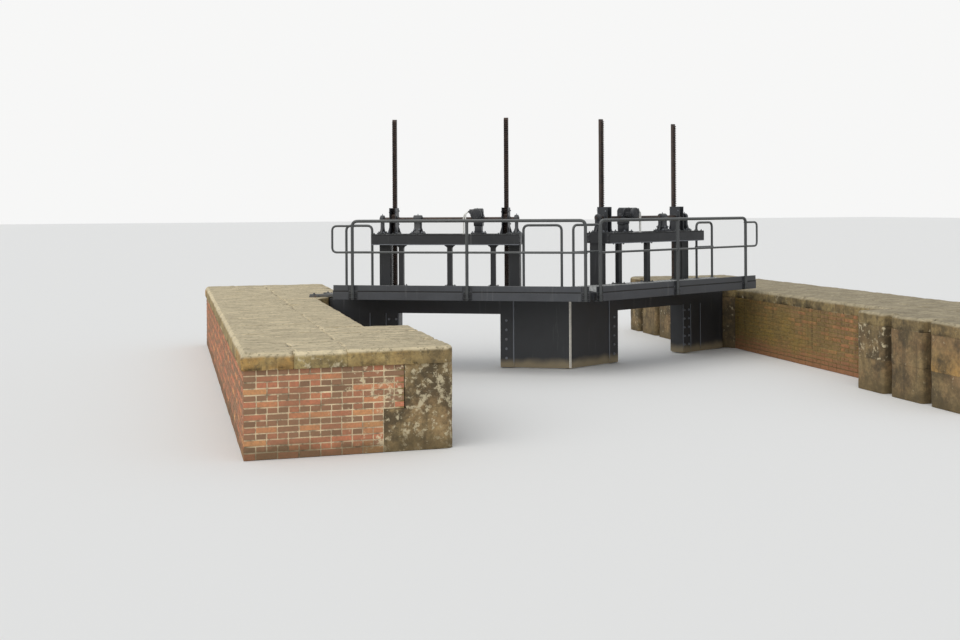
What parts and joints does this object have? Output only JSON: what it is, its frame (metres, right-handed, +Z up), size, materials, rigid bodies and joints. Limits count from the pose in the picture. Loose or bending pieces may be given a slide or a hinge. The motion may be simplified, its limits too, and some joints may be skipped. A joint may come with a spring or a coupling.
{
  "type": "pair of canal sluice gate leaves with rack-lifted sluices between masonry abutments",
  "caption": "Steel mitre sluice gate: hinged leaves with walkway decks, railings and motor-driven rack hoists, hung between brick and stone lock abutments.",
  "frame": {"origin": "middle of the lock, midway along the abutments, at the water level", "axes": "+X across the lock to the right bank, +Y along the lock away from the mitre's point, +Z up"},
  "size_m": [11.06, 10.66, 4.08],
  "materials": {
    "brickwork": "weathered red brick with pale lime mortar, bloom and green algae",
    "stone": "worn lichened stone, rounded edges",
    "sandstone": "pale sandstone coping, ochre stains and lichen",
    "dark_steel": "rusted wrought iron straps",
    "leaf_paint": "anthracite grey paint, satin, brown tide band at the waterline",
    "deck_paint": "grey painted chequer plate",
    "rail_paint": "dark grey painted tube, slightly chalked on top",
    "gear_paint": "dark painted castings with bright bolt heads",
    "gear_steel": "greased steel, brownish",
    "cable": "pale grey flexible conduit"
  },
  "bodies": {
    "abutments": {"left_brickwork": "brickwork", "left_near_nose": "stone", "left_far_nose": "stone", "left_quoin_stone": "stone", "left_coping": "sandstone", "left_anchor": "dark_steel", "right_brickwork": "brickwork", "right_near_nose": "stone", "right_far_nose": "stone", "right_quoin_stone": "stone", "right_coping": "sandstone", "right_anchor": "dark_steel"},
    "left_leaf": {"left_heel_post": "leaf_paint", "left_mitre_post": "leaf_paint", "left_leaf_plates": "leaf_paint", "left_top_girder": "leaf_paint", "left_bay_posts": "leaf_paint", "left_deck_frame": "leaf_paint", "left_deck_plate": "deck_paint", "left_front_railing": "rail_paint", "left_back_hoops": "rail_paint", "left_hoist_beams": "leaf_paint", "left_hoist_legs": "leaf_paint", "left_rack_guides": "gear_paint", "left_shaft_bearings": "gear_paint", "left_gear_motor": "gear_paint", "left_motor_cables": "cable"},
    "left_rack_pair": {"left_racks": "gear_steel"},
    "left_shaft": {"left_drive_shaft": "gear_steel"},
    "right_leaf": {"right_heel_post": "leaf_paint", "right_mitre_post": "leaf_paint", "right_leaf_plates": "leaf_paint", "right_top_girder": "leaf_paint", "right_bay_posts": "leaf_paint", "right_deck_frame": "leaf_paint", "right_deck_plate": "deck_paint", "right_front_railing": "rail_paint", "right_back_hoops": "rail_paint", "right_hoist_beams": "leaf_paint", "right_hoist_legs": "leaf_paint", "right_rack_guides": "gear_paint", "right_shaft_bearings": "gear_paint", "right_gear_motor": "gear_paint", "right_motor_cables": "cable"},
    "right_rack_pair": {"right_racks": "gear_steel"},
    "right_shaft": {"right_drive_shaft": "gear_steel"}
  },
  "joints": [
    {"name": "left_leaf_swing", "type": "hinge", "parent": "abutments", "child": "left_leaf", "pos_m": [-3.49335, 1.80473, 0.6], "axis": [0, 0, -1], "range_deg": [0, 64.5]},
    {"name": "left_rack_lift", "type": "slide", "parent": "left_leaf", "child": "left_rack_pair", "axis": [0, 0, 1], "range_m": [-1.1, 0]},
    {"name": "left_shaft_turn", "type": "hinge", "parent": "left_leaf", "child": "left_shaft", "pos_m": [-1.71476, 1.05056, 2.42], "axis": [0.9026, -0.4305, 0], "range_deg": [-1051.42, 1]},
    {"name": "right_leaf_swing", "type": "hinge", "parent": "abutments", "child": "right_leaf", "pos_m": [3.49335, 1.80473, 0.6], "axis": [0, 0, 1], "range_deg": [0, 64.5]},
    {"name": "right_rack_lift", "type": "slide", "parent": "right_leaf", "child": "right_rack_pair", "axis": [0, 0, 1], "range_m": [-1.1, 0]},
    {"name": "right_shaft_turn", "type": "hinge", "parent": "right_leaf", "child": "right_shaft", "pos_m": [1.71476, 1.05056, 2.42], "axis": [0.9026, 0.4305, 0], "range_deg": [-1051.42, 1]}
  ],
  "couplings": [
    {"joint": "left_shaft_turn", "follows": "left_rack_lift", "rad_per_m": 16.667},
    {"joint": "right_shaft_turn", "follows": "right_rack_lift", "rad_per_m": 16.667}
  ]
}
